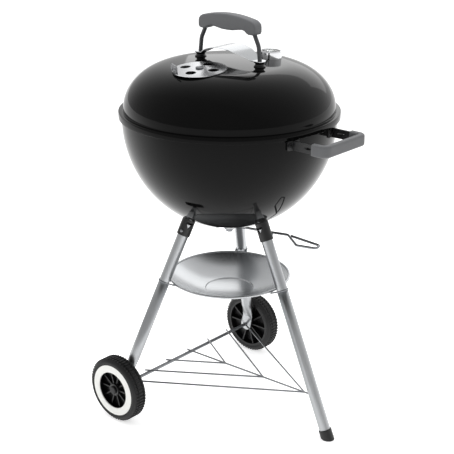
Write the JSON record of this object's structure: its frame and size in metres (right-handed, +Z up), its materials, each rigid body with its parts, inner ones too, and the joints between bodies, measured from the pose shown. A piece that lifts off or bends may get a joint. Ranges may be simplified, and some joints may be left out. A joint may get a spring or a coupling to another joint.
{
  "type": "kettle charcoal grill",
  "caption": "Round charcoal grill with a domed lid and deep bowl on a tripod of tube legs, wheels on the rear pair, ash pan, wire bottom rack, damper, thermometer and sweep lever.",
  "frame": {"origin": "on the ground under the middle of the outline", "axes": "+Z up, +X towards the plain front leg and the bowl handle, wheel axle along Y"},
  "size_m": [0.553, 0.512, 0.908],
  "materials": {
    "enamel": "glossy black porcelain enamel",
    "zinc_plate": "bright plated steel wire and rod",
    "aluminium_tube": "bright satin aluminium",
    "aluminium_sheet": "bright sheet aluminium",
    "grip_plastic": "glass-filled nylon, fine matte grain",
    "black_plastic": "black moulded plastic",
    "black_coat": "black coated steel",
    "tyre_black": "black treaded plastic tyre",
    "white_ring": "white plastic ring",
    "chrome_rim": "polished chrome",
    "polished_steel": "polished stainless sheet",
    "dial_face": "printed pale dial",
    "needle_red": "red painted pointer",
    "lens_glass": "clear cover glass",
    "tab_plastic": "grey moulded tab"
  },
  "bodies": {
    "stand": {"ash_pan": "aluminium_sheet", "axle": "zinc_plate", "axle_cap_left": "zinc_plate", "axle_cap_right": "zinc_plate", "axle_washers": "zinc_plate", "bottom_rack": "zinc_plate", "bowl_handle_bracket_left": "black_coat", "bowl_handle_bracket_right": "black_coat", "bowl_handle_grip": "grip_plastic", "bowl_handle_screws": "zinc_plate", "bowl_shell": "enamel", "charcoal_grate_tabs": "zinc_plate", "cooking_grate_tabs": "zinc_plate", "front_foot_cap": "black_plastic", "leg_lower_front": "aluminium_tube", "leg_lower_left": "aluminium_tube", "leg_lower_right": "aluminium_tube", "leg_socket_front": "black_coat", "leg_socket_left": "black_coat", "leg_socket_right": "black_coat", "leg_upper_front": "aluminium_tube", "leg_upper_left": "aluminium_tube", "leg_upper_right": "aluminium_tube", "pan_loop_front": "zinc_plate", "pan_loop_left": "zinc_plate", "pan_loop_right": "zinc_plate", "sweep_bushing": "zinc_plate"},
    "lid": {"lid_shell": "enamel", "lid_handle_rod": "zinc_plate", "lid_handle_grip": "grip_plastic", "lid_heat_shield": "polished_steel", "lid_handle_spacer_left": "black_coat", "lid_handle_spacer_right": "black_coat", "lid_handle_nuts": "zinc_plate", "lid_hook": "zinc_plate", "damper_pivot": "zinc_plate", "thermometer_bezel": "chrome_rim", "thermometer_dial": "dial_face", "thermometer_lens": "lens_glass", "thermometer_stem": "zinc_plate", "thermometer_nut": "zinc_plate"},
    "lid_damper": {"damper_disc": "aluminium_sheet", "damper_tab": "tab_plastic", "damper_tab_rivets": "zinc_plate"},
    "gauge_needle": {"thermometer_needle": "needle_red"},
    "cooking_grate_body": {"cooking_grate": "zinc_plate"},
    "charcoal_grate_body": {"charcoal_grate": "zinc_plate"},
    "ash_sweep": {"sweep_blades": "aluminium_sheet", "sweep_shaft": "zinc_plate", "sweep_nut": "zinc_plate", "ash_lever": "zinc_plate"},
    "left_wheel": {"left_wheel_hub": "black_plastic", "left_tyre": "tyre_black", "left_whitewall_ring": "white_ring"},
    "right_wheel": {"right_wheel_hub": "black_plastic", "right_tyre": "tyre_black", "right_whitewall_ring": "white_ring"},
    "button_front": {"snap_button_front": "zinc_plate"},
    "button_left": {"snap_button_left": "zinc_plate"},
    "button_right": {"snap_button_right": "zinc_plate"}
  },
  "joints": [
    {"name": "lid_lift", "type": "slide", "parent": "stand", "child": "lid", "axis": [0, 0, 1], "range_m": [0, 0.35]},
    {"name": "damper_turn", "type": "hinge", "parent": "lid", "child": "lid_damper", "pos_m": [-0.03121, -0.10086, 0.80499], "axis": [0.0041, -0.0784, 0.9969], "range_deg": [-45, 45]},
    {"name": "needle_turn", "type": "hinge", "parent": "lid", "child": "gauge_needle", "pos_m": [0.00663, 0.08465, 0.8054], "axis": [0.0197, 0.0386, 0.9991], "range_deg": [-270, 0]},
    {"name": "cooking_grate_lift", "type": "slide", "parent": "stand", "child": "cooking_grate_body", "axis": [0, 0, 1], "range_m": [0, 0.02]},
    {"name": "charcoal_grate_lift", "type": "slide", "parent": "stand", "child": "charcoal_grate_body", "axis": [0, 0, 1], "range_m": [0, 0.08]},
    {"name": "sweep_turn", "type": "hinge", "parent": "stand", "child": "ash_sweep", "pos_m": [-0.0365, 0, 0.43], "axis": [0, 0, 1], "range_deg": [-8, 75]},
    {"name": "left_wheel_spin", "type": "hinge", "parent": "stand", "child": "left_wheel", "pos_m": [-0.16508, -0.237, 0.075], "axis": [0, 1, 0], "continuous": true},
    {"name": "right_wheel_spin", "type": "hinge", "parent": "stand", "child": "right_wheel", "pos_m": [-0.16508, 0.237, 0.075], "axis": [0, 1, 0], "continuous": true},
    {"name": "snap_front", "type": "slide", "parent": "stand", "child": "button_front", "axis": [0.6732, 0.682, 0.2858], "range_m": [-0.004, 0], "stiffness_N_per_m": 500, "springref_m": 0.002},
    {"name": "snap_left", "type": "slide", "parent": "stand", "child": "button_left", "axis": [0.254, -0.924, 0.2858], "range_m": [-0.004, 0], "stiffness_N_per_m": 500, "springref_m": 0.002},
    {"name": "snap_right", "type": "slide", "parent": "stand", "child": "button_right", "axis": [-0.9272, 0.242, 0.2858], "range_m": [-0.004, 0], "stiffness_N_per_m": 500, "springref_m": 0.002}
  ]
}
